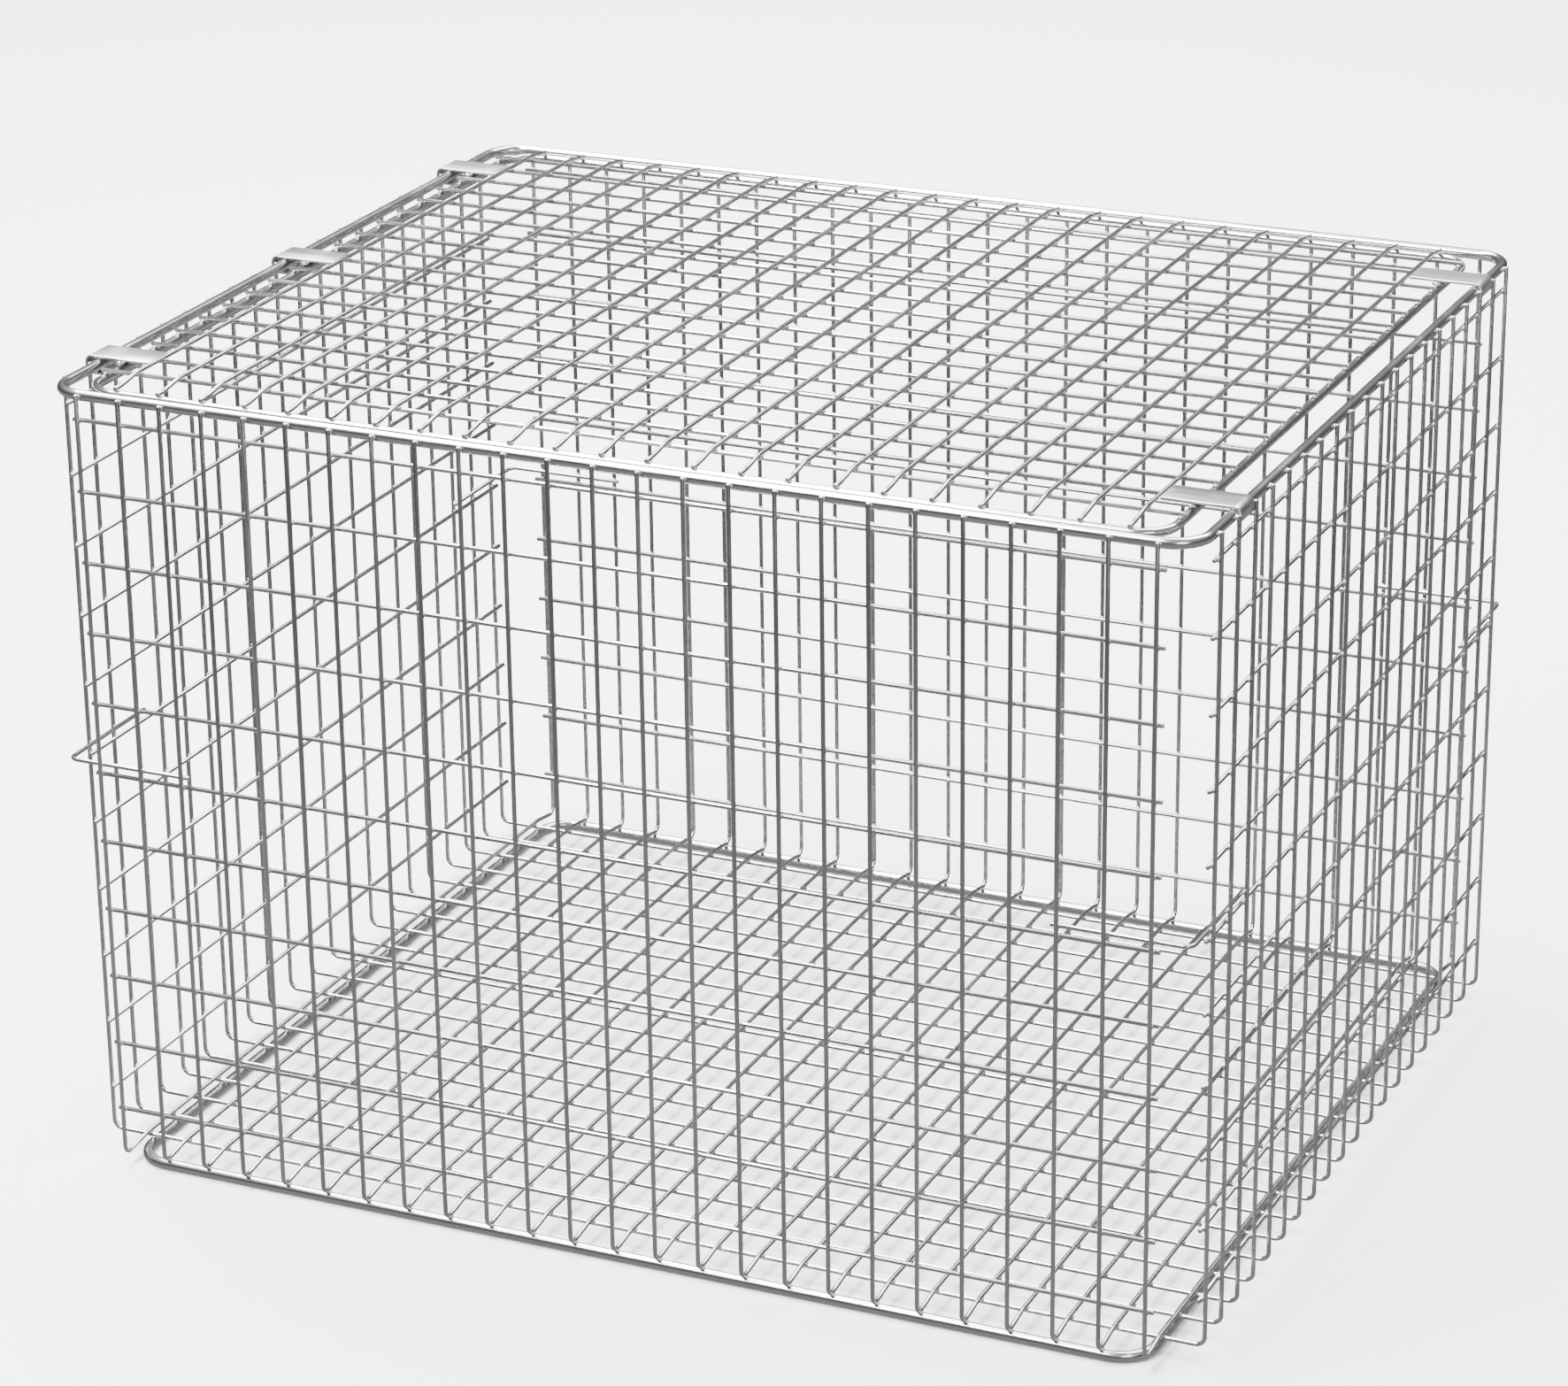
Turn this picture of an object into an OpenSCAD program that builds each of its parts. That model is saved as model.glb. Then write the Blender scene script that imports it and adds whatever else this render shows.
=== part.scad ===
// Welded-wire utensil cage with a hinged lid.
// Units are mm. +Z is up, X runs along the long side and Y runs from front to back.
// The origin is the middle of the footprint, on the surface that the cage stands on.

/* [Mesh] */
// Distance between neighbouring upright wires
mesh_pitch = 25; // [15:1:50]
// Distance between neighbouring level wires on the walls
row_pitch = 40; // [20:1:80]
// Number of upright wires on the front wall
long_count = 25; // [5:1:40]
// Number of upright wires on the end wall
cross_count = 20; // [5:1:40]
// Number of level wires on each wall
row_count = 11; // [2:1:20]
// Diameter of the mesh wire
wire_d = 2.5; // [1.5:0.1:4]
// Distance from the last upright wire of the front to the end wall
corner_gap_x = 23; // [10:1:40]
// Distance from the last upright wire of the end to the front wall
corner_gap_y = 26.5; // [10:0.5:40]
// Radius of the bend where a wall turns into the floor
floor_bend_r = 5; // [3:0.5:20]
// Height of the lowest level wire
first_row_z = 34; // [15:1:80]
// How far a level wire runs past the last upright wire
row_overhang = 4; // [1:0.5:10]
// Slope of a wire where it steps down one wire thickness onto a ring
step_angle = 12; // [6:1:20]
// Straight length on the base ring before that slope starts
step_toe = 1; // [0.5:0.5:4]

/* [Rings] */
// Diameter of the rim wire
rim_d = 6; // [4:0.5:10]
// Height of the rim wire's middle
rim_z = 447; // [200:1:600]
// Corner radius of the rim, at the wire's middle
rim_corner_r = 18.5; // [10:0.5:40]
// How far the upright wires run past the rim's middle
upright_overhang = 1.5; // [0:0.1:3]
// Diameter of the base ring wire
base_d = 6; // [4:0.5:10]
// Half length of the base ring, at the wire's middle
base_half_x = 297.5; // [200:0.5:320]
// Corner radius of the base ring, at the wire's middle
base_corner_r = 20; // [10:0.5:40]

/* [Corner ties] */
// How far a tie lies above the middle row
tie_lift = 5.5; // [3:0.5:15]
// Number of upright wires that one leg of a tie is welded to
tie_reach = 3; // [1:1:6]
// Bend radius of a tie
tie_bend_r = 5; // [3:0.5:15]

/* [Lid] */
// Diameter of the lid frame wire
lid_d = 5; // [3:0.5:8]
// Left end of the lid frame, at the wire's middle
lid_left_x = -306.5; // [-312:0.5:-280]
// Right end of the lid frame, at the wire's middle
lid_right_x = 297; // [280:0.5:310]
// Front of the lid frame, at the wire's middle
lid_front_y = -246.5; // [-252:0.5:-220]
// Back of the lid frame, at the wire's middle
lid_back_y = 252.5; // [220:0.5:253]
// Corner radius of the lid frame, at the wire's middle
lid_corner_r = 18; // [8:0.5:40]
// Number of lid wires that run from front to back
lid_cross_count = 23; // [5:1:40]
// First of the lid wires that run from front to back
lid_cross_x = -285.6; // [-295:0.1:-250]
// Distance between the lid wires that run from front to back
lid_cross_pitch = 25.7; // [15:0.1:50]
// Number of lid wires that run from left to right
lid_long_count = 19; // [5:1:40]
// First of the lid wires that run from left to right
lid_long_y = -222.5; // [-235:0.1:-200]
// Distance between the lid wires that run from left to right
lid_long_pitch = 25.3; // [15:0.1:50]
// How far a lid wire runs past the middle of the frame wire
lid_overhang = 2; // [0.5:0.1:4]

/* [Straps] */
// Thickness of the sheet-metal straps
strap_t = 1.5; // [0.8:0.1:3]
// Width of the straps
strap_w = 20; // [8:0.5:22]
// Gaps between upright wires that the front, middle and rear strap pass through
strap_bays = [1.5, 9.5, 17.5];
// Distance from the rim's middle to the outer leg of a hinge hook
hook_reach = 7.15; // [4:0.05:9]
// Distance from the rim's middle down to the lower lip of a hinge hook
hook_depth = 4.5; // [3.5:0.1:8]
// Inner bend radius of a hinge hook
hook_bend_r = 2.5; // [1:0.1:4]
// How far the lower lip of a hinge hook reaches inward past the rim's middle
hook_lip = 1; // [0:0.1:3]
// Length of the straight edge of a latch tab below the rim's middle
tab_drop = 3; // [1:0.1:8]
// Radius of the weld beads between the straps and the lid frame
bead_r = 1.24; // [0.8:0.01:2]

/* [Hidden] */
$fn = 48;
fit_gap = 0.02;

// the walls, as places of the upright wires' middles
long_half = mesh_pitch * (long_count - 1) / 2;
cross_half = mesh_pitch * (cross_count - 1) / 2;
wall_x = long_half + corner_gap_x;
wall_y = cross_half + corner_gap_y;
row_x = wall_x - wire_d - fit_gap;
row_y = wall_y - wire_d - fit_gap;
row_top_z = first_row_z + row_pitch * (row_count - 1);
upright_top_z = rim_z + upright_overhang;

// the rings
rim_half_x = wall_x - wire_d / 2 - rim_d / 2 - fit_gap;
rim_half_y = wall_y - wire_d / 2 - rim_d / 2 - fit_gap;
base_half_y = wall_y - floor_bend_r;

// the floor: left-to-right wires lie on the base ring, front-to-back wires on top of them
floor_low_z = base_d + wire_d / 2 + fit_gap;
step_rise = wire_d + fit_gap;

// the lid: straps rest on the rim, the lid's long wires are as high as the rim's crown
strap_z = rim_z + rim_d / 2 + fit_gap;
lid_long_z = strap_z - wire_d / 2 - fit_gap;
lid_frame_z = lid_long_z - wire_d / 2 - lid_d / 2 - fit_gap;
lid_cross_end_z = lid_frame_z + lid_d / 2 + wire_d / 2 + fit_gap;
strap_ys = [for (b = strap_bays) (b - (cross_count - 1) / 2) * mesh_pitch];

function long_x(i) = -long_half + i * mesh_pitch;
function cross_y(j) = -cross_half + j * mesh_pitch;
function row_z(k) = row_top_z - k * row_pitch;

// how far along a wire its step takes, and how far the pieces on both sides of a
// slight corner run past it, so that the corner's outer side closes
step_run = step_rise / tan(step_angle);
corner_lap = wire_d / 8;

// ---- bent wire and bent strip ----
// A path is a list of [length, 0] for a straight and [inner radius, angle] for a bend.
// It starts at the origin along +X, lies in the XY plane and bends to the left.

module rod_straight(d, l) {
    rotate([0, 90, 0]) cylinder(h = l, d = d);
}

// Here the bend radius is that of the wire's middle.
module rod(d, path, i = 0) {
    if (i < len(path)) {
        s = path[i];
        if (s[1] == 0) {
            rod_straight(d, s[0]);
            translate([s[0], 0, 0]) rod(d, path, i + 1);
        } else {
            translate([0, s[0], 0]) rotate([0, 0, -90])
                rotate_extrude(angle = s[1]) translate([s[0], 0]) circle(d = d);
            translate([s[0] * sin(s[1]), s[0] * (1 - cos(s[1])), 0])
                rotate([0, 0, s[1]]) rod(d, path, i + 1);
        }
    }
}

// A wire along +Y, from the origin, that climbs one step at once
module climbing_rod() {
    rotate([step_angle, 0, 0]) translate([0, -corner_lap, 0]) rotate([-90, 0, 0])
        cylinder(h = step_run / cos(step_angle) + 2 * corner_lap, d = wire_d);
}

// The strip's inner face follows the path, and every bend is to the left.
module strip(path, i = 0) {
    if (i < len(path)) {
        s = path[i];
        if (s[1] == 0) {
            translate([0, -strap_t, -strap_w / 2]) cube([s[0], strap_t, strap_w]);
            translate([s[0], 0, 0]) strip(path, i + 1);
        } else {
            translate([0, s[0], 0]) rotate([0, 0, -90])
                rotate_extrude(angle = s[1])
                    translate([s[0], -strap_w / 2]) square([strap_t, strap_w]);
            translate([s[0] * sin(s[1]), s[0] * (1 - cos(s[1])), 0])
                rotate([0, 0, s[1]]) strip(path, i + 1);
        }
    }
}

// A closed ring of round wire, lying level
module wire_ring(d, x0, x1, y0, y1, r, z) {
    lx = x1 - x0 - 2 * r;
    ly = y1 - y0 - 2 * r;
    translate([x0 + r, y0, z])
        rod(d, [[lx, 0], [r, 90], [ly, 0], [r, 90], [lx, 0], [r, 90], [ly, 0], [r, 90]]);
}

// ---- cage ----

module top_rim() {
    color("silver")
        wire_ring(rim_d, -rim_half_x, rim_half_x, -rim_half_y, rim_half_y, rim_corner_r, rim_z);
}

// The base ring, as its four straight stretches and its four corners
base_len_x = 2 * (base_half_x - base_corner_r - fit_gap);
base_len_y = 2 * (base_half_y - base_corner_r - fit_gap);

module base_side_x(y) {
    color("silver") translate([-base_len_x / 2, y, base_d / 2]) rod_straight(base_d, base_len_x);
}

module base_side_y(x) {
    color("silver") translate([x, -base_len_y / 2, base_d / 2]) rotate([0, 0, 90])
        rod_straight(base_d, base_len_y);
}

module base_front() { base_side_x(-base_half_y); }
module base_back() { base_side_x(base_half_y); }
module base_left() { base_side_y(-base_half_x); }
module base_right() { base_side_y(base_half_x); }

module base_corners() {
    color("silver") for (turn = [0, 180], side = [0, 1]) rotate([0, 0, turn])
        translate([(1 - 2 * side) * (base_half_x - base_corner_r),
                   base_half_y - base_corner_r, base_d / 2])
            rotate([0, 0, 90 * side]) rotate_extrude(angle = 90)
                translate([base_corner_r, 0]) circle(d = base_d);
}

// One wire down the front wall, across the floor and up the back wall. It touches the
// base ring at its bends and steps up over the left-to-right wires between them.
module cross_wire(x) {
    drop = upright_top_z - floor_low_z - floor_bend_r;
    y_toe = wall_y - floor_bend_r - step_toe;
    y_up = y_toe - step_run;
    for (turn = [0, 180]) translate([x, 0, 0]) rotate([0, 0, turn]) {
        translate([0, -wall_y, upright_top_z]) rotate([0, 90, 0])
            rod(wire_d, [[drop, 0], [floor_bend_r, 90], [step_toe + corner_lap, 0]]);
        translate([0, -y_toe, floor_low_z]) climbing_rod();
    }
    translate([x, -y_up - corner_lap, floor_low_z + step_rise]) rotate([0, 0, 90])
        rod_straight(wire_d, 2 * (y_up + corner_lap));
}

// One wire down the left wall, across the floor and up the right wall
module long_wire(y) {
    drop = upright_top_z - floor_low_z - floor_bend_r;
    level = 2 * (wall_x - floor_bend_r);
    translate([-wall_x, y, upright_top_z]) rotate([0, 90, -90])
        rod(wire_d, [[drop, 0], [floor_bend_r, 90], [level, 0], [floor_bend_r, 90], [drop, 0]]);
}

module cross_wires() {
    color("gainsboro") for (i = [0 : long_count - 1]) cross_wire(long_x(i));
}

module long_wires() {
    color("gainsboro") for (j = [0 : cross_count - 1]) long_wire(cross_y(j));
}

// The level wires of a front or back wall, and of an end wall
module wall_rows_x(y) {
    l = 2 * (long_half + row_overhang);
    color("gainsboro") for (k = [0 : row_count - 1])
        translate([-l / 2, y, row_z(k)]) rod_straight(wire_d, l);
}

module wall_rows_y(x) {
    l = 2 * (cross_half + row_overhang);
    color("gainsboro") for (k = [0 : row_count - 1])
        translate([x, -l / 2, row_z(k)]) rotate([0, 0, 90]) rod_straight(wire_d, l);
}

module front_rows() { wall_rows_x(-row_y); }
module back_rows() { wall_rows_x(row_y); }
module left_rows() { wall_rows_y(-row_x); }
module right_rows() { wall_rows_y(row_x); }

// A bent tie inside the uprights that closes one corner, just above the middle row
tie_z = row_z(floor(row_count / 2)) + tie_lift;
tie_leg_x = row_x - long_x(long_count - tie_reach) + row_overhang - tie_bend_r;
tie_leg_y = row_y - cross_y(cross_count - tie_reach) + row_overhang - tie_bend_r;

// The corner at -X -Y: down the end wall to the front, then along the front wall
module tie_left_hand() {
    color("gainsboro")
        translate([-row_x, -row_y + tie_bend_r + tie_leg_y, tie_z]) rotate([0, 0, -90])
            rod(wire_d, [[tie_leg_y, 0], [tie_bend_r, 90], [tie_leg_x, 0]]);
}

// The corner at +X -Y: along the front wall to the end, then along the end wall
module tie_right_hand() {
    color("gainsboro")
        translate([row_x - tie_bend_r - tie_leg_x, -row_y, tie_z])
            rod(wire_d, [[tie_leg_x, 0], [tie_bend_r, 90], [tie_leg_y, 0]]);
}

module tie_front_left() { tie_left_hand(); }
module tie_front_right() { tie_right_hand(); }
module tie_back_right() { rotate([0, 0, 180]) tie_left_hand(); }
module tie_back_left() { rotate([0, 0, 180]) tie_right_hand(); }

// ---- lid ----

module lid_frame() {
    color("silver")
        wire_ring(lid_d, lid_left_x, lid_right_x, lid_front_y, lid_back_y,
                  lid_corner_r, lid_frame_z);
}

// One wire of the lid from front to back. Its ends lie on the frame, and it steps up
// over the left-to-right wires between them.
module lid_cross_wire(x) {
    y_up = lid_long_y - wire_d - step_run;
    y_down = lid_long_y + (lid_long_count - 1) * lid_long_pitch + wire_d + step_run;
    ends = [lid_front_y - lid_overhang, lid_back_y + lid_overhang];
    translate([x, 0, lid_cross_end_z]) {
        translate([0, ends[0], 0]) rotate([0, 0, 90])
            rod_straight(wire_d, y_up - ends[0] + corner_lap);
        translate([0, y_up, 0]) climbing_rod();
        translate([0, y_up + step_run - corner_lap, step_rise]) rotate([0, 0, 90])
            rod_straight(wire_d, y_down - y_up - 2 * step_run + 2 * corner_lap);
        translate([0, y_down, 0]) rotate([0, 0, 180]) climbing_rod();
        translate([0, y_down - corner_lap, 0]) rotate([0, 0, 90])
            rod_straight(wire_d, ends[1] - y_down + corner_lap);
    }
}

module lid_cross_wires() {
    color("gainsboro") for (i = [0 : lid_cross_count - 1])
        lid_cross_wire(lid_cross_x + i * lid_cross_pitch);
}

module lid_long_wires() {
    x0 = lid_left_x - lid_overhang - lid_d / 8;
    x1 = lid_right_x + lid_overhang;
    color("gainsboro") for (j = [0 : lid_long_count - 1])
        translate([x0, lid_long_y + j * lid_long_pitch, lid_long_z]) rod_straight(wire_d, x1 - x0);
}

// Where the straps butt against the outermost front-to-back wires of the lid
strap_left_x = lid_cross_x - wire_d / 2 - 10 * fit_gap;
strap_right_x = lid_cross_x + (lid_cross_count - 1) * lid_cross_pitch + wire_d / 2 + 10 * fit_gap;

// A strap from the lid, over the rim, and hooked round and under it as a loose hinge
module hinge_strap(y) {
    over = strap_left_x + rim_half_x + hook_reach - hook_bend_r;
    leg = rim_d / 2 + fit_gap + hook_depth - 2 * hook_bend_r;
    lip = hook_reach - hook_bend_r + hook_lip;
    color("lightgray") translate([strap_left_x, y, strap_z]) rotate([-90, 0, 180])
        strip([[over, 0], [hook_bend_r, 90], [leg, 0], [hook_bend_r, 90], [lip, 0]]);
}

// A strap from the lid, over the rim, and turned down as a tab that grips its outside
module latch_strap(y) {
    over = rim_half_x - strap_right_x;
    color("lightgray") translate([strap_right_x, y, strap_z]) rotate([-90, 0, 0])
        strip([[over, 0], [rim_d / 2 + fit_gap, 90], [tab_drop, 0]]);
}

module hinge_strap_front() { hinge_strap(strap_ys[0]); }
module hinge_strap_middle() { hinge_strap(strap_ys[1]); }
module hinge_strap_rear() { hinge_strap(strap_ys[2]); }
module latch_strap_front() { latch_strap(strap_ys[0]); }
module latch_strap_rear() { latch_strap(strap_ys[2]); }

// Whether a bead at y is clear of the lid's left-to-right wires
function bead_clears(y) =
    min([for (j = [0 : lid_long_count - 1]) abs(y - lid_long_y - j * lid_long_pitch)])
        > bead_r + wire_d / 2 + fit_gap;

// Weld beads between the crown of the frame and a strap, at the strap's two edges,
// left out where one of the lid's wires is already there
module strap_beads(x, ys) {
    color("gray") for (y = ys, s = [-1, 1]) {
        bead_y = y + s * (strap_w / 2 - bead_r);
        if (bead_clears(bead_y)) translate([x, bead_y, lid_long_z]) sphere(r = bead_r);
    }
}

module hinge_weld_beads() { strap_beads(lid_left_x, strap_ys); }
module latch_weld_beads() { strap_beads(lid_right_x, [strap_ys[0], strap_ys[2]]); }

top_rim();
base_front();
base_back();
base_left();
base_right();
base_corners();
cross_wires();
long_wires();
front_rows();
back_rows();
left_rows();
right_rows();
tie_front_left();
tie_front_right();
tie_back_left();
tie_back_right();
lid_frame();
lid_cross_wires();
lid_long_wires();
hinge_strap_front();
hinge_strap_middle();
hinge_strap_rear();
latch_strap_front();
latch_strap_rear();
hinge_weld_beads();
latch_weld_beads();
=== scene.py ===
# %% [markdown]
# # A wire basket with a hinged lid
#
# The basket is made of 135 round wires, three heavier rings, five sheet-metal straps
# and some 2200 small welds. The CAD model fixes where each one goes.
# Here every wire becomes a smooth tube, every strap gets its rounded edges, and every
# crossing gets the nugget of metal that the spot welder leaves there.

import bpy
import numpy as np
from mathutils import Matrix, Vector


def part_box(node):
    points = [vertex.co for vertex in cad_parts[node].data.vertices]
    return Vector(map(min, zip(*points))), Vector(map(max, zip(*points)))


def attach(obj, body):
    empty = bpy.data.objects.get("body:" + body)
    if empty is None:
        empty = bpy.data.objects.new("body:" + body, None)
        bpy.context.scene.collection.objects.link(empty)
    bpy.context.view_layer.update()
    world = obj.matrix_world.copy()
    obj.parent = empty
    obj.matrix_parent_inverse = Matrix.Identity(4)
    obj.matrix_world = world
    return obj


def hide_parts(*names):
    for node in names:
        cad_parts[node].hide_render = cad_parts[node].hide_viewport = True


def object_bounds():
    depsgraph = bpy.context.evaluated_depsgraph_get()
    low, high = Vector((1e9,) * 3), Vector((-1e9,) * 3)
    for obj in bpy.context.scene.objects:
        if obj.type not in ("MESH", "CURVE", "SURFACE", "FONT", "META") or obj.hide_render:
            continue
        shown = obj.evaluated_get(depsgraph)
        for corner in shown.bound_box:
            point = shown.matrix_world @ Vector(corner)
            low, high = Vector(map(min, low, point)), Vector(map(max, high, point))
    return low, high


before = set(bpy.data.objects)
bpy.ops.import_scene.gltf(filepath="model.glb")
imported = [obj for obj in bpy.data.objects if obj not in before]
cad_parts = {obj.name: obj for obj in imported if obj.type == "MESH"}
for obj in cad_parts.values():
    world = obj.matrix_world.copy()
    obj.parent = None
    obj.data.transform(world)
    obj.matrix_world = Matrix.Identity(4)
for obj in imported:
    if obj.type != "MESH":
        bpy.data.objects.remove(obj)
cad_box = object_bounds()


def box(node):
    """Lowest and highest corner of a CAD node in metres, as the two rows of an array."""
    return np.array([list(corner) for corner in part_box(node)])


# %% [markdown]
# ## The driving sizes
#
# Almost every size can be read off a box in the frame: a ring's height is its wire's
# diameter, and a row of wires ends half a wire inside its box. Only bend radii,
# spacings and the small gap between neighbours aren't boxes, so they are written down
# once, here, in metres.

# %% Sizes
wire_d = 0.0025
wire_r = wire_d / 2
fit_gap = 0.00002
mesh_pitch = 0.025
row_pitch = 0.040
floor_bend = 0.005
tie_bend = 0.005
rim_corner = 0.0185
base_corner = 0.020
lid_corner = 0.018
step_height = wire_d + fit_gap
floor_step_run = 0.018
lid_step_run = 0.0175
lid_cross_pitch = 0.0257
lid_long_pitch = 0.0253
strap_t = 0.0015

rim_low, rim_high = box("top_rim")
rim_d = rim_high[2] - rim_low[2]
print(f"rim {1000 * (rim_high[0] - rim_low[0]):.1f} x {1000 * (rim_high[1] - rim_low[1]):.1f} mm,"
      f" of {1000 * rim_d:.1f} mm rod")


# %% [markdown]
# ## A path and a sweep
#
# A wire bender knows two moves: feed straight, and turn round a former. A path here is a
# list of the same two moves, and it always lies in one plane. Sweeping a cross-section
# along it would twist in general, but in a plane one of the two directions across the
# wire never changes: it is the plane's own normal. So the sweep needs no twist
# correction, and the whole tube is one array expression.

# %% Path by feed and turn
def bent_path(moves, start, along, up, turn_step=10.0):
    """Points of a wire: a move (length, 0) feeds straight, a move (radius, angle) turns
    towards the left of travel. At angle t of a turn the point is
    centre + radius * (sin t * heading - cos t * left)."""
    heading, left = np.array(along, float), np.cross(up, along).astype(float)
    points, at = [np.array(start, float)], np.array(start, float)
    for size, angle in moves:
        if angle == 0:
            at = at + size * heading
            points.append(at)
            continue
        t = np.radians(np.linspace(0, angle, int(np.ceil(angle / turn_step)) + 1)[1:, None])
        centre = at + size * left
        arc = centre + size * (np.sin(t) * heading - np.cos(t) * left)
        points.extend(arc)
        at, a = arc[-1], np.radians(angle)
        heading, left = (np.cos(a) * heading + np.sin(a) * left,
                         np.cos(a) * left - np.sin(a) * heading)
    return np.array(points)


def round_profile(d, sides=12):
    """A circle: point k is d/2 * (cos, sin) of 360 degrees * k / sides."""
    a = 2 * np.pi * np.arange(sides) / sides
    return d / 2 * np.stack([np.cos(a), np.sin(a)], axis=1)


def lengths(rows):
    """The length of each row, as a column."""
    return np.linalg.norm(rows, axis=-1, keepdims=True)


def ends_dressed(path, depths, widths):
    """Put points at the given depths inside each end of a path. Returns the path with the
    scale of the cross-section at each point: widths at those points, 1 between them."""
    inward = np.array([path[1] - path[0], path[-2] - path[-1]])
    inward /= lengths(inward)
    depths = np.array(depths)[:, None]
    head = path[0] + depths * inward[0]
    tail = path[-1] + depths[::-1] * inward[1]
    scale = np.concatenate([widths, np.ones(len(path) - 2), widths[::-1]])
    return np.vstack([head, path[1:-1], tail]), scale


def ends_rounded(path, d):
    """Dress the ends of a wire of diameter d round."""
    return ends_dressed(path, (0, 0.06 * d, 0.2 * d), (0.62, 0.88, 1.0))


def sweep(path, normal, profile, scale, closed=False):
    """Tube along a flat path. Ring i is path_i + p * normal + q * side_i for each profile
    point (p, q), where side_i is the tangent crossed with the normal. At a corner the
    side is lengthened by 1 / cos(half the turn), so that the wire keeps its thickness.
    Seen from outside, the corners of each face run anticlockwise, so it points outwards.
    Returns vertices, faces, and for each corner of each face its place along and round."""
    steps = np.diff(np.vstack([path, path[:1]]), axis=0)
    if not closed:
        steps[-1] = steps[-2]
    out = steps / lengths(steps)
    into = np.roll(out, 1, axis=0)
    if not closed:
        into[0] = out[0]
    tangent = into + out
    mitre = np.clip(2 / lengths(tangent), 1.0, 1.4)
    side = np.cross(tangent / lengths(tangent), normal) * mitre
    rings = profile[None, :, :] * scale[:, None, None]
    verts = path[:, None, :] + rings[:, :, :1] * normal + rings[:, :, 1:] * side[:, None, :]
    n, m = verts.shape[:2]
    i = np.arange(n if closed else n - 1)[:, None]
    k = np.arange(m)[None, :]
    i2, k2 = (i + 1) % n, (k + 1) % m
    quads = np.stack([i * m + k, i * m + k2, i2 * m + k2, i2 * m + k], axis=-1).reshape(-1, 4)
    run = np.concatenate([[0], np.cumsum(lengths(steps))])
    along = np.broadcast_to(np.stack([run[i], run[i], run[i + 1], run[i + 1]], axis=-1),
                            (len(i), m, 4))
    around = np.broadcast_to(np.stack([k, k + 1, k + 1, k], axis=-1) / m, (len(i), m, 4))
    uv = np.stack([along, around], axis=-1).reshape(-1, 2)
    caps = [] if closed else [list(range(m))[::-1], list(range((n - 1) * m, n * m))]
    return verts.reshape(-1, 3), quads, caps, uv


# %% [markdown]
# ## From arrays to a piece
#
# All the wires that share a CAD node become one Blender object. Each wire carries its
# own tone: wire comes off different coils, and no two are equally bright. The tone
# is a colour attribute on the faces' corners, which the finish reads later.

# %% Piece builder
draw = np.random.default_rng(20)
pieces = []


def make_piece(name, parts, body, slot, replaces=()):
    """Join swept parts into one smooth mesh. Face indices of part n are raised by the
    number of vertices before it; uv runs in metres along and 0 to 1 round."""
    verts, polys, uvs, tones, base = [], [], [], [], 0
    for v, quads, caps, uv in parts:
        verts.append(v)
        polys.extend((quads + base).tolist())
        polys.extend([[c + base for c in cap] for cap in caps])
        corners = len(uv) + sum(len(cap) for cap in caps)
        uvs.append(np.vstack([uv, np.zeros((corners - len(uv), 2))]))
        uvs[-1][:, 0] += draw.uniform(0, 50)
        tones.append(np.full(corners, draw.uniform(0, 1)))
        base += len(v)
    mesh = bpy.data.meshes.new(name)
    mesh.from_pydata(np.vstack(verts).tolist(), [], polys)
    layer = mesh.uv_layers.new(name="wire")
    layer.data.foreach_set("uv", np.vstack(uvs).astype(np.float32).ravel())
    tone = np.concatenate(tones)
    colour = mesh.color_attributes.new("tone", "FLOAT_COLOR", "CORNER")
    colour.data.foreach_set("color", np.stack([tone, tone, tone, np.ones_like(tone)],
                                              axis=1).astype(np.float32).ravel())
    mesh.polygons.foreach_set("use_smooth", [len(p) == 4 for p in polys])
    mesh.update()
    piece = bpy.data.objects.new(name, mesh)
    bpy.context.scene.collection.objects.link(piece)
    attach(piece, body)
    if replaces:
        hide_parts(*replaces)
    pieces.append((piece, slot))
    print(f"{name}: {len(parts)} parts, {sum(len(p) - 2 for p in polys)} triangles")


def shifted(part, offset):
    """The same swept part, moved by offset."""
    verts, quads, caps, uv = part
    return verts + np.array(offset, float), quads, caps, uv


def along_axis(start, length, axis, d):
    """A straight wire from start along an axis."""
    way = np.eye(3)[axis]
    path, scale = ends_rounded(np.array([start, start + length * way]), d)
    return sweep(path, np.eye(3)[(axis + 1) % 3], round_profile(d), scale)


X, Y, Z = np.eye(3)

# %% [markdown]
# ## The three rings
#
# The rim, the base ring and the lid frame are one rod each, bent at four corners and
# butt-welded into a closed ring. Where the two ends meet, the weld leaves a collar that
# is ground almost flush. It sits half way along the back, where the maker hides it.

# %% Rings
collar_half = 0.003
collar_spread = 0.002
collar_swell = 0.025


def shared_box(nodes):
    """Lowest and highest corner of several CAD nodes together."""
    corners = np.array([box(node) for node in nodes])
    return corners[:, 0].min(axis=0), corners[:, 1].max(axis=0)


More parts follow.
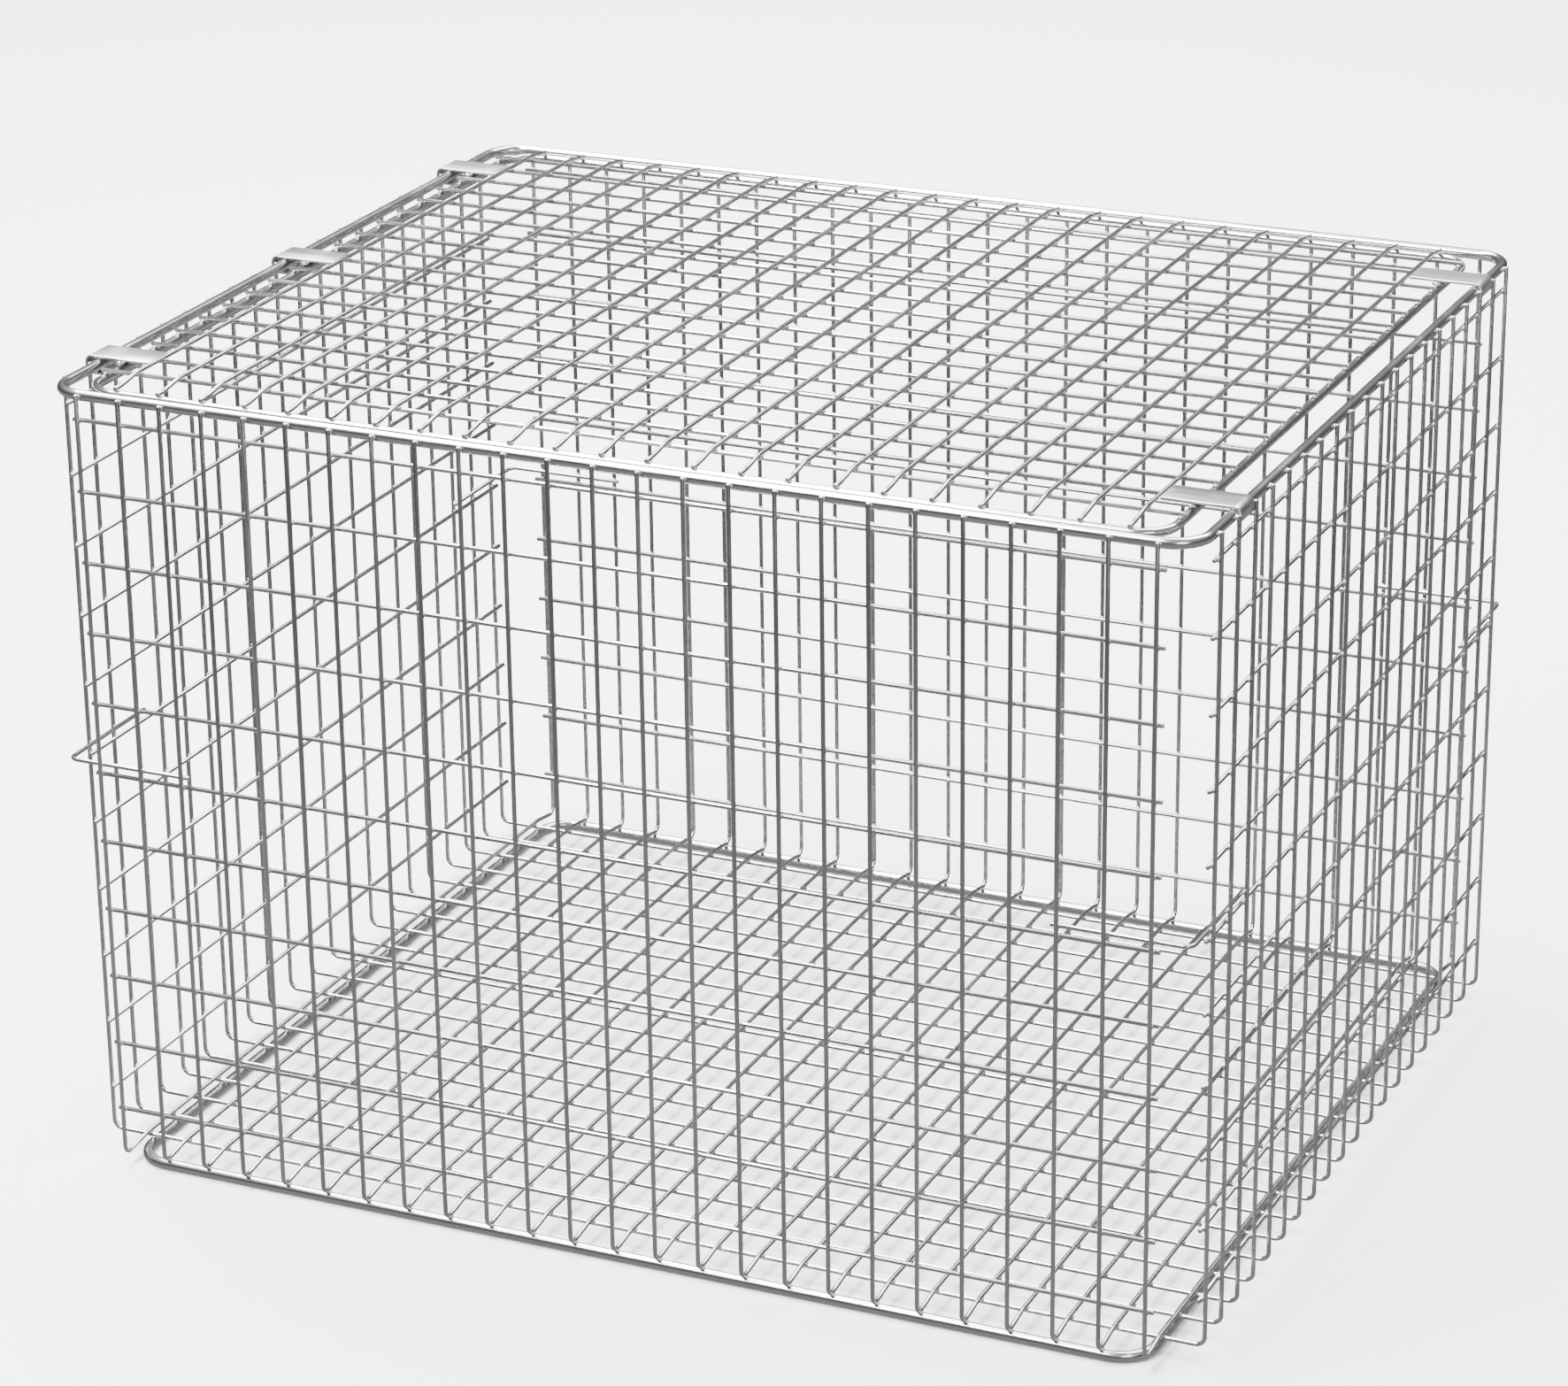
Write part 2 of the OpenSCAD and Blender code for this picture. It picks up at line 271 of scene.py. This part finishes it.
def ring_part(nodes, corner):
    """A level ring of round rod. The path is four straights and four quarter turns. At a
    distance u from the weld the rod is 1 + collar_swell * exp(-(u / collar_spread)^2)
    times as thick."""
    low, high = shared_box(nodes)
    d = high[2] - low[2]
    low, high = low + d / 2, high - d / 2
    lx, ly = high[0] - low[0] - 2 * corner, high[1] - low[1] - 2 * corner
    to_collar = lx / 2 - collar_half
    moves = [(lx, 0), (corner, 90), (ly, 0), (corner, 90), (to_collar, 0), (collar_half, 0),
             (collar_half, 0), (to_collar, 0), (corner, 90), (ly, 0), (corner, 90)]
    path = bent_path(moves, (low[0] + corner, low[1], low[2]), X, Z, turn_step=6.0)[:-1]
    middle = np.array([(low[0] + high[0]) / 2, high[1], low[2]])
    away = lengths(path - middle)[:, 0]
    scale = 1 + collar_swell * np.exp(-(away / collar_spread) ** 2)
    return sweep(path, Z, round_profile(d, 20), scale, closed=True)


base_nodes = ["base_front", "base_back", "base_left", "base_right", "base_corners"]
for name, nodes, corner, body in (("rim_rod", ["top_rim"], rim_corner, "cage"),
                                  ("base_rod", base_nodes, base_corner, "cage"),
                                  ("lid_rod", ["lid_frame"], lid_corner, "lid")):
    make_piece(name, [ring_part(nodes, corner)], body, "ring_wire", nodes)

# %% [markdown]
# ## The wires that make walls and floor at once
#
# One wire runs down a wall, across the floor and up the other wall. The left-to-right
# wires lie on the base ring. The front-to-back wires lie on top of them, and so they
# rise by one wire thickness between the bend and the first crossing. A real wire doesn't
# kink there. It climbs in a straight line with a soft start and end, so that the eye
# hardly sees it.

# %% U-shaped wires
def ease(t):
    """Nearly a straight line from 0 to 1, softened by a quarter of half a cosine."""
    t = np.clip(t, 0, 1)
    return 0.75 * t + 0.25 * (1 - np.cos(np.pi * t)) / 2


def mirror_path(half, axis):
    """A path followed by its mirror image in reverse."""
    other = half[::-1].copy()
    other[:, axis] *= -1
    return np.vstack([half, other])


def places(node, axis, pitch):
    """Middles of the parallel wires of a node, read off its box."""
    low, high = box(node)
    count = int(round((high[axis] - low[axis] - wire_d) / pitch)) + 1
    return low[axis] + wire_r + pitch * np.arange(count)


def cross_wire_part():
    """The front-to-back wire at x = 0: down, a tight bend, an easy rise, and level to the
    middle; then the mirror image of all that."""
    low, high = box("cross_wires")
    wall, floor = high[1] - wire_r, low[2] + wire_r
    down = bent_path([(high[2] - floor - floor_bend, 0), (floor_bend, 90)],
                     (0, -wall, high[2]), -Z, X)
    t = np.linspace(0, 1, 7)[1:]
    rise = np.stack([0 * t, down[-1, 1] + floor_step_run * t, floor + step_height * ease(t)],
                    axis=1)
    path, scale = ends_rounded(mirror_path(np.vstack([down, rise]), 1), wire_d)
    return sweep(path, X, round_profile(wire_d), scale)


def long_wire_part():
    """The left-to-right wire at y = 0: down, a bend, level, a bend, and up."""
    low, high = box("long_wires")
    wall, floor = high[0] - wire_r, low[2] + wire_r
    drop, level = high[2] - floor - floor_bend, 2 * (wall - floor_bend)
    path = bent_path([(drop, 0), (floor_bend, 90), (level, 0), (floor_bend, 90), (drop, 0)],
                     (-wall, 0, high[2]), -Z, -Y)
    path, scale = ends_rounded(path, wire_d)
    return sweep(path, -Y, round_profile(wire_d), scale)


upright_x = places("cross_wires", 0, mesh_pitch)
upright_y = places("long_wires", 1, mesh_pitch)
cross_part, long_part = cross_wire_part(), long_wire_part()
make_piece("front_to_back_wires", [shifted(cross_part, (x, 0, 0)) for x in upright_x],
           "cage", "mesh_wire", ["cross_wires"])
make_piece("left_to_right_wires", [shifted(long_part, (0, y, 0)) for y in upright_y],
           "cage", "mesh_wire", ["long_wires"])

# %% [markdown]
# ## The level rows
#
# Each wall has its own set of straight wires inside the uprights. They are cut about
# 4 mm past the last upright, so their dressed ends show at every corner.

# %% Rows
row_z = places("front_rows", 2, row_pitch)
for wall, axis in (("front_rows", 0), ("back_rows", 0), ("left_rows", 1), ("right_rows", 1)):
    low, high = box(wall)
    start = (low + high) / 2
    start[axis] = low[axis]
    rows = [along_axis(np.array([start[0], start[1], z]), high[axis] - low[axis], axis, wire_d)
            for z in row_z]
    make_piece(wall + "_wires", rows, "cage", "mesh_wire", [wall])

# %% [markdown]
# ## The corner ties
#
# The rows of two walls never meet, so each corner would be open. One L-shaped wire at
# mid height closes it, welded to three uprights on either side.

# %% Ties
def tie_part(node, sx, sy):
    """An L of wire. Its corner is at the box's corner on side sx, sy."""
    low, high = box(node)
    mid_z = (low[2] + high[2]) / 2
    corner = np.array([(high if sx > 0 else low)[0] - sx * wire_r,
                       (high if sy > 0 else low)[1] - sy * wire_r, mid_z])
    leg_x, leg_y = high[0] - low[0] - wire_r, high[1] - low[1] - wire_r
    start = corner - np.array([sx * leg_x, 0, 0])
    path = bent_path([(leg_x - tie_bend, 0), (tie_bend, 90), (leg_y - tie_bend, 0)],
                     start, X * sx, Z * (-sx * sy))
    path, scale = ends_rounded(path, wire_d)
    return sweep(path, Z * (-sx * sy), round_profile(wire_d), scale)


for node, sx, sy in (("tie_front_left", -1, -1), ("tie_front_right", 1, -1),
                     ("tie_back_left", -1, 1), ("tie_back_right", 1, 1)):
    make_piece(f"corner_{node}", [tie_part(node, sx, sy)], "cage", "mesh_wire", [node])

# %% [markdown]
# ## The lid's mesh
#
# The left-to-right wires of the lid lie on the lid frame and end there. The
# front-to-back wires lie on them, and their two ends are pressed down until they meet
# the frame, with the same easy rise as the floor wires.

# %% Lid wires
lid_x = places("lid_cross_wires", 0, lid_cross_pitch)
lid_y = places("lid_long_wires", 1, lid_long_pitch)


def lid_cross_part():
    """The lid's front-to-back wire at x = 0, low at both ends and one step higher between."""
    low, high = box("lid_cross_wires")
    z = low[2] + wire_r
    up, down = lid_y[0] - wire_d - lid_step_run, lid_y[-1] + wire_d + lid_step_run
    t = np.linspace(0, 1, 7)
    front = np.stack([0 * t, up + lid_step_run * t, z + step_height * ease(t)], axis=1)
    back = np.stack([0 * t, down - lid_step_run * t, z + step_height * ease(t)], axis=1)[::-1]
    path = np.vstack([[0, low[1], z], front, back, [0, high[1], z]])
    path, scale = ends_rounded(path, wire_d)
    return sweep(path, X, round_profile(wire_d), scale)


lid_cross = lid_cross_part()
make_piece("lid_front_to_back_wires", [shifted(lid_cross, (x, 0, 0)) for x in lid_x],
           "lid", "mesh_wire", ["lid_cross_wires"])
low, high = box("lid_long_wires")
lid_long = [along_axis(np.array([low[0], y, high[2] - wire_r]), high[0] - low[0], 0, wire_d)
            for y in lid_y]
make_piece("lid_left_to_right_wires", lid_long, "lid", "mesh_wire", ["lid_long_wires"])

# %% [markdown]
# ## The straps
#
# Five strips of 1.5 mm sheet hold the lid. On the hinge side each is bent into an open
# hook that hangs loosely round the rim. On the other side each ends in a tab that curls
# snugly over it. A strip is a sweep like a wire, with a flat profile whose corners are
# rounded, because the strips are deburred and polished with the rest.

# %% Straps
hook_bend = 0.0025
hook_reach = 0.00715
hook_lip = 0.001
tab_drop = 0.003
strip_end = 0.0003
strip_end_width = 0.97


def strip_profile(width, thick, edge=0.00045, steps=3):
    """A flat strip's cross-section: four quarter circles of radius edge, joined."""
    a = np.radians(np.linspace(0, 90, steps + 1))
    corners = []
    for k, (sw, st) in enumerate(((1, 1), (-1, 1), (-1, -1), (1, -1))):
        t = a + k * np.pi / 2
        corners.append(np.stack([sw * (width / 2 - edge) + edge * np.cos(t),
                                 st * (thick / 2 - edge) + edge * np.sin(t)], axis=1))
    return np.vstack(corners)


def hook_moves():
    """Moves of the strip's middle line for a hinge hook, inner end first."""
    low, high = box("hinge_strap_middle")
    bend = hook_bend + strap_t / 2
    over = high[0] - low[0] - hook_bend - strap_t
    leg = high[2] - low[2] - 2 * (hook_bend + strap_t)
    lip = hook_reach - hook_bend + hook_lip
    return [(over, 0), (bend, 90), (leg, 0), (bend, 90), (lip, 0)]


def tab_moves():
    """Moves of the strip's middle line for a latch tab, inner end first."""
    low, high = box("latch_strap_front")
    inner = rim_d / 2 + fit_gap
    return [(high[0] - low[0] - inner - strap_t, 0), (inner + strap_t / 2, 90), (tab_drop, 0)]


def strap_part(node, moves, side):
    """A bent strip that starts at its inner end and runs towards side (-1 left, 1 right)."""
    low, high = box(node)
    inner = high[0] if side < 0 else low[0]
    start = np.array([inner, (low[1] + high[1]) / 2, high[2] - strap_t / 2])
    path = bent_path(moves, start, side * X, side * Y, turn_step=9.0)
    path, scale = ends_dressed(path, (0, strip_end), (strip_end_width, 1.0))
    return sweep(path, side * Y, strip_profile(high[1] - low[1], strap_t), scale)


hinge_straps = ["hinge_strap_front", "hinge_strap_middle", "hinge_strap_rear"]
latch_straps = ["latch_strap_front", "latch_strap_rear"]
for node in hinge_straps:
    make_piece(node + "_sheet", [strap_part(node, hook_moves(), -1)], "lid", "strap_sheet", [node])
for node in latch_straps:
    make_piece(node + "_sheet", [strap_part(node, tab_moves(), 1)], "lid", "strap_sheet", [node])

# %% [markdown]
# ## The welds
#
# A spot welder presses two wires together until the metal between them melts. What is
# left is a small nugget that fills the four corners of the crossing. It is a flattened
# ball whose radius is a little larger than the wire's, so that it shows in the corners.
# There are about two thousand, so each has only a few dozen faces.

# %% Nuggets
def ball(meridians, latitudes):
    """Unit ball without its tips: point (i, k) is (cos b_i cos a_k, cos b_i sin a_k, sin b_i),
    closed above and below by one flat face."""
    b = np.radians(latitudes)[:, None]
    a = 2 * np.pi * np.arange(meridians)[None, :] / meridians
    points = np.stack(np.broadcast_arrays(np.cos(b) * np.cos(a), np.cos(b) * np.sin(a), np.sin(b)),
                      axis=-1).reshape(-1, 3)
    n, m = len(latitudes), meridians
    i, k = np.arange(n - 1)[:, None], np.arange(m)[None, :]
    k2 = (k + 1) % m
    quads = np.stack([i * m + k, i * m + k2, (i + 1) * m + k2, (i + 1) * m + k], -1).reshape(-1, 4)
    return points, quads, [list(range(m))[::-1], list(range((n - 1) * m, n * m))]


def weld_parts(centres, axes, half_size, spread=0.12, shape=(8, (-58, -22, 22, 58))):
    """One ball for each centre. Its size is half_size times 1 +- spread, and each point
    is moved in or out by about 5 percent, so that no two are the same. Axes in mirrored order
    would turn the ball inside out, so its faces are turned back."""
    points, quads, caps = ball(*shape)
    if np.linalg.det(axes) < 0:
        quads, caps = quads[:, ::-1], [cap[::-1] for cap in caps]
    uv = np.zeros((4 * len(quads), 2))
    sizes = np.array(half_size) * draw.uniform(1 - spread, 1 + spread, (len(centres), 1, 3))
    bumps = draw.normal(1, 0.05, (len(centres), len(points), 1)).clip(0.85, 1.15)
    verts = centres[:, None, :] + (points * bumps * sizes) @ np.array(axes, float)
    return [(v, quads, caps, uv) for v in verts]


def grid(*ranges):
    """Every combination of the values on three axes, as an array of points."""
    return np.stack(np.meshgrid(*[np.atleast_1d(r) for r in ranges], indexing="ij"),
                    axis=-1).reshape(-1, 3)


# Half sizes of a nugget: two along the crossing, one through it.
nugget = (0.00182, 0.00182, 0.0008)
rod_nugget = (0.0021, 0.0017, 0.0009)
wall_y = box("cross_wires")[1][1] - wire_d
wall_x = box("long_wires")[1][0] - wire_d
rim_z = (rim_low[2] + rim_high[2]) / 2
base_low, base_high = shared_box(base_nodes)
base_top = base_high[2]
base_rod = base_high[2] - base_low[2]
crossing = wire_d + 1.5 * fit_gap
floor_z = base_top + crossing
tie_z = float(np.mean([p[2] for p in box("tie_front_left")]))
on_ring = np.abs(upright_x) < base_high[0] - base_rod / 2 - base_corner

print(f"floor wires cross {1000 * floor_z:.2f} mm up, level rows at every {1000 * row_pitch:.0f} mm")

wall_welds = (
    weld_parts(grid(upright_x, [-wall_y, wall_y], row_z), (X, Z, Y), nugget)
    + weld_parts(grid([-wall_x, wall_x], upright_y, row_z), (Y, Z, X), nugget)
    + weld_parts(grid(upright_x[:3], [-wall_y, wall_y], tie_z), (X, Z, Y), nugget)
    + weld_parts(grid(upright_x[-3:], [-wall_y, wall_y], tie_z), (X, Z, Y), nugget)
    + weld_parts(grid([-wall_x, wall_x], upright_y[:3], tie_z), (Y, Z, X), nugget)
    + weld_parts(grid([-wall_x, wall_x], upright_y[-3:], tie_z), (Y, Z, X), nugget))
floor_welds = weld_parts(grid(upright_x, upright_y, floor_z), (X, Y, Z), nugget)
ring_welds = (
    weld_parts(grid(upright_x, [-wall_y, wall_y], rim_z), (X, Z, Y), rod_nugget)
    + weld_parts(grid([-wall_x, wall_x], upright_y, rim_z), (Y, Z, X), rod_nugget)
    + weld_parts(grid(np.array([-1, 1]) * (base_high[0] - base_rod / 2), upright_y, base_top),
                 (Y, X, Z), rod_nugget)
    + weld_parts(grid(upright_x[on_ring], np.array([-1, 1]) * (base_high[1] - base_rod / 2), base_top),
                 (X, Y, Z), rod_nugget))
make_piece("wall_weld_nuggets", wall_welds, "cage", "weld_metal")
make_piece("floor_weld_nuggets", floor_welds, "cage", "weld_metal")
make_piece("ring_weld_nuggets", ring_welds, "cage", "weld_metal")

lid_low, lid_high = box("lid_frame")
lid_rod = lid_high[2] - lid_low[2]
lid_ends_x = [lid_low[0] + lid_rod / 2, lid_high[0] - lid_rod / 2]
lid_ends_y = [lid_low[1] + lid_rod / 2, lid_high[1] - lid_rod / 2]
lid_welds = (
    weld_parts(grid(lid_x, lid_y, lid_high[2] + crossing), (X, Y, Z), nugget)
    + weld_parts(grid(lid_ends_x, lid_y, lid_high[2]), (Y, X, Z), rod_nugget)
    + weld_parts(grid(lid_x, lid_ends_y, lid_high[2]), (X, Y, Z), rod_nugget))
make_piece("lid_weld_nuggets", lid_welds, "lid", "weld_metal")

# %% [markdown]
# The straps are stiffer than a wire, so they are welded by hand. A lumpy bead lies along
# each edge of a strap where it crosses the lid frame. Where a lid wire already lies
# against the strap, there is no room for one.

# %% Beads
bead = (0.0026, 0.0014, 0.00135)
bead_inset = 0.0007
bead_shape = (14, (-72, -50, -25, 0, 25, 50, 72))
for node, straps, x in (("hinge_weld_beads", hinge_straps, lid_ends_x[0]),
                        ("latch_weld_beads", latch_straps, lid_ends_x[1])):
    sides = [box(strap)[:, 1] + (bead_inset, -bead_inset) for strap in straps]
    edges = np.concatenate(sides)
    edges = edges[np.abs(edges[:, None] - lid_y).min(axis=1) > wire_d]
    beads = weld_parts(grid(x, edges, lid_high[2] + wire_r), (X, Y, Z), bead, 0.1, bead_shape)
    make_piece(node + "_laid", beads, "lid", "weld_metal", [node])

# %% [markdown]
# ## Writing finishes as sums
#
# A finish is a little arithmetic on patterns. Written as nodes it is hard to read, so a
# small class wraps a socket, and adding or multiplying two of them adds the Math node.

# %% Shader arithmetic
class Value:
    """A number that varies over the surface. Sums and products add Math nodes."""

    def __init__(self, finish, socket):
        self.finish, self.socket = finish, socket

    def _math(self, operation, a, b):
        return self.finish.node("ShaderNodeMath", {"operation": operation}, {0: a, 1: b})["Value"]

    def __add__(self, other):
        return self._math("ADD", self, other)

    __radd__ = __add__

    def __sub__(self, other):
        return self._math("SUBTRACT", self, other)

    def __rsub__(self, other):
        return self._math("SUBTRACT", other, self)

    def __mul__(self, other):
        return self._math("MULTIPLY", self, other)

    __rmul__ = __mul__


class Finish:
    """The nodes of a material, or of the room's world."""

    def __init__(self, owner):
        owner.use_nodes = True
        self.material, self.tree = owner, owner.node_tree
        self.tree.nodes.clear()

    def node(self, kind, settings=None, inputs=None):
        """Add a node, set its settings, then its inputs, and return its outputs by name."""
        made = self.tree.nodes.new(kind)
        for name, value in (settings or {}).items():
            setattr(made, name, value)
        for name, value in (inputs or {}).items():
            if isinstance(value, Value):
                self.tree.links.new(value.socket, made.inputs[name])
            else:
                made.inputs[name].default_value = value
        return {out.name: Value(self, out) for out in made.outputs if out.enabled}

    def noise(self, vector, scale, detail, roughness):
        """Smooth random pattern, from 0 to 1."""
        return self.node("ShaderNodeTexNoise", {"noise_dimensions": "3D"},
                         {"Vector": vector, "Scale": scale, "Detail": detail,
                          "Roughness": roughness})["Fac"]

    def between(self, low, high, amount):
        """A colour between two colours, by an amount from 0 to 1."""
        return self.node("ShaderNodeMix", {"data_type": "RGBA"},
                         {0: amount, 6: (*low, 1), 7: (*high, 1)})["Result"]

    def ramp(self, amount, low, high):
        """0 below low, 1 above high, and a smooth rise between them."""
        return self.node("ShaderNodeMapRange", {"interpolation_type": "SMOOTHSTEP"},
                         {"Value": amount, "From Min": low, "From Max": high,
                          "To Min": 0.0, "To Max": 1.0})["Result"]


# %% [markdown]
# ## Drawn and electropolished steel
#
# Wire is pulled through a die, which leaves fine lines along it. Electropolishing then
# dissolves the sharp crests: the lines stay as a faint grain, and the metal between them
# is bright. Handling and hard water leave patches that are slightly duller. The grain
# follows the wire, so it reads the tube's own UV; the patches run over neighbouring
# wires, so they read Object coordinates.

# %% Steel finishes
def steel(name, dark, light, rough, grain, grain_scale, haze_size, bump):
    """Stainless steel. The base colour goes from dark to light by a weighted sum of the
    wire's own tone, the streaks along it, a fine speckle and the dull patches, and the
    roughness by smaller weights of the same; bump is the height of the grain in metres."""
    finish = Finish(bpy.data.materials.new(name))
    uv = finish.node("ShaderNodeUVMap", {"uv_map": "wire"})["UV"]
    place = finish.node("ShaderNodeTexCoord")["Object"]
    lines = finish.node("ShaderNodeVectorMath", {"operation": "MULTIPLY"},
                        {0: uv, 1: (grain_scale[0], grain_scale[1], 1.0)})["Vector"]
    streaks = finish.noise(lines, 1.0, 4.0, 0.6)
    haze = finish.noise(place, 1 / haze_size, 3.0, 0.5)
    fine = finish.noise(place, 900.0, 2.0, 0.5)
    tone = finish.node("ShaderNodeVertexColor", {"layer_name": "tone"})["Color"]
    tone = finish.node("ShaderNodeSeparateColor", {"mode": "RGB"}, {"Color": tone})["Red"]
    dull = finish.ramp(haze, 0.45, 0.75)
    amount = 0.32 * tone + 0.34 * streaks + 0.10 * fine - 0.14 * dull + 0.22
    colour = finish.between(dark, light, amount)
    roughness = rough + 0.10 * dull + grain * (streaks - 0.5) + 0.04 * (tone - 0.5)
    normal = finish.node("ShaderNodeBump", None, {"Strength": 0.35, "Distance": bump,
                                                  "Height": 0.8 * streaks + 0.2 * fine})["Normal"]
    shader = finish.node("ShaderNodeBsdfPrincipled", None,
                         {"Base Color": colour, "Metallic": 1.0, "Roughness": roughness,
                          "Normal": normal})["BSDF"]
    finish.node("ShaderNodeOutputMaterial", None, {"Surface": shader})
    return finish.material


wire_steel = steel("drawn_wire_steel", (0.25, 0.25, 0.252), (0.62, 0.62, 0.623), rough=0.20,
                   grain=0.08, grain_scale=(30.0, 9.0), haze_size=0.035, bump=0.00003)
rod_steel = steel("drawn_rod_steel", (0.28, 0.28, 0.282), (0.66, 0.66, 0.663), rough=0.17,
                  grain=0.08, grain_scale=(22.0, 14.0), haze_size=0.05, bump=0.00003)
sheet_steel = steel("polished_strip_steel", (0.32, 0.32, 0.323), (0.60, 0.60, 0.603), rough=0.30,
                    grain=0.18, grain_scale=(14.0, 60.0), haze_size=0.02, bump=0.00002)
weld_steel = steel("weld_steel", (0.32, 0.32, 0.322), (0.70, 0.70, 0.702), rough=0.28,
                   grain=0.0, grain_scale=(1.0, 1.0), haze_size=0.004, bump=0.00006)
finishes = {"mesh_wire": wire_steel, "ring_wire": rod_steel, "strap_sheet": sheet_steel,
            "weld_metal": weld_steel}
for piece, slot in pieces:
    piece.data.materials.clear()
    piece.data.materials.append(finishes[slot])
print("finishes on", len(pieces), "pieces")

# %% [markdown]
# ## Floor and light
#
# Polished wire has no colour of its own to speak of: what we see is what it reflects.
# Three soft boxes give the wires their bright lines. The long one hangs where wires that
# run from left to right mirror it towards the viewer. The room is dim at eye level and
# paler above and below, which gives each wire a dark edge on both sides of its bright
# line. A pale floor would fill that edge, so the floor takes shadows but is left out of
# reflections.

# %% Floor, lights, room
def area_light(name, place, aim, size, power):
    """A soft box of size (wide, high) that faces a point."""
    light = bpy.data.lights.new(name, "AREA")
    light.shape, light.size, light.size_y, light.energy = "RECTANGLE", size[0], size[1], power
    lamp = bpy.data.objects.new(name, light)
    lamp.location = place
    lamp.rotation_euler = (aim - place).to_track_quat("-Z", "Y").to_euler()
    bpy.context.scene.collection.objects.link(lamp)
    print(f"{name}: {size[0]:.1f} x {size[1]:.1f} m, {power} W")


floor_half = 9.0
floor_corners = floor_half * np.array([[-1, -1, 0], [1, -1, 0], [1, 1, 0], [-1, 1, 0]])
floor_mesh = bpy.data.meshes.new("floor")
floor_mesh.from_pydata(floor_corners.tolist(), [], [(0, 1, 2, 3)])
floor = bpy.data.objects.new("floor", floor_mesh)
bpy.context.scene.collection.objects.link(floor)
paper = Finish(bpy.data.materials.new("pale_floor"))
sheen = paper.node("ShaderNodeBsdfPrincipled", None,
                   {"Base Color": (0.85, 0.85, 0.852, 1), "Roughness": 0.8})["BSDF"]
paper.node("ShaderNodeOutputMaterial", None, {"Surface": sheen})
floor_mesh.materials.append(paper.material)
floor.visible_glossy = False

middle = Vector((np.array(cad_box[0]) + np.array(cad_box[1])) / 2)
area_light("key_box", middle + Vector((-1.35, -0.2, 2.9)), middle, (6.0, 1.2), 900)
area_light("fill_box", middle + Vector((2.2, -2.4, 1.4)), middle, (1.2, 1.2), 50)
area_light("top_box", middle + Vector((0.6, 1.8, 3.4)), middle, (2.6, 2.6), 400)

room = Finish(bpy.data.worlds.new("dim_room"))
way = room.node("ShaderNodeTexCoord")["Generated"]
height = room.node("ShaderNodeSeparateXYZ", None, {"Vector": way})["Z"]
below = room.ramp(0.0 - height, -0.05, 0.35)
above = room.ramp(height, 0.15, 0.8)
glow = room.between((0.18, 0.18, 0.182), (0.85, 0.85, 0.855), 0.50 * below + 0.9 * above)
sky = room.node("ShaderNodeBackground", None, {"Color": glow, "Strength": 0.85})["Background"]
room.node("ShaderNodeOutputWorld", None, {"Surface": sky})
bpy.context.scene.world = room.material

# %% [markdown]
# ## Camera
#
# A long lens, from the right of the front and above, aimed close to the middle. The
# place is given by three things that one can measure in a studio: how far away, how far
# round, and how high. A slight roll finishes it.

# %% Camera
camera_distance = 2.789
camera_round = 24.41
camera_up = 21.47
camera_roll = -0.72
focal_length = 114.37
aim_offset = (-0.0124, -0.0043, 0.0036)
lens = bpy.data.cameras.new("camera")
lens.sensor_fit, lens.sensor_width, lens.lens = "HORIZONTAL", 36.0, focal_length
camera = bpy.data.objects.new("camera", lens)
bpy.context.scene.collection.objects.link(camera)
aim = middle + Vector(aim_offset)
a, b = np.radians([camera_round, camera_up])
away = Vector((np.sin(a) * np.cos(b), -np.cos(a) * np.cos(b), np.sin(b)))
camera.location = aim + camera_distance * away
roll = Matrix.Rotation(np.radians(camera_roll), 3, "Z")
camera.rotation_euler = ((-away).to_track_quat("-Z", "Y").to_matrix() @ roll).to_euler()
bpy.context.scene.camera = camera
print("camera at", [round(c, 3) for c in camera.location])
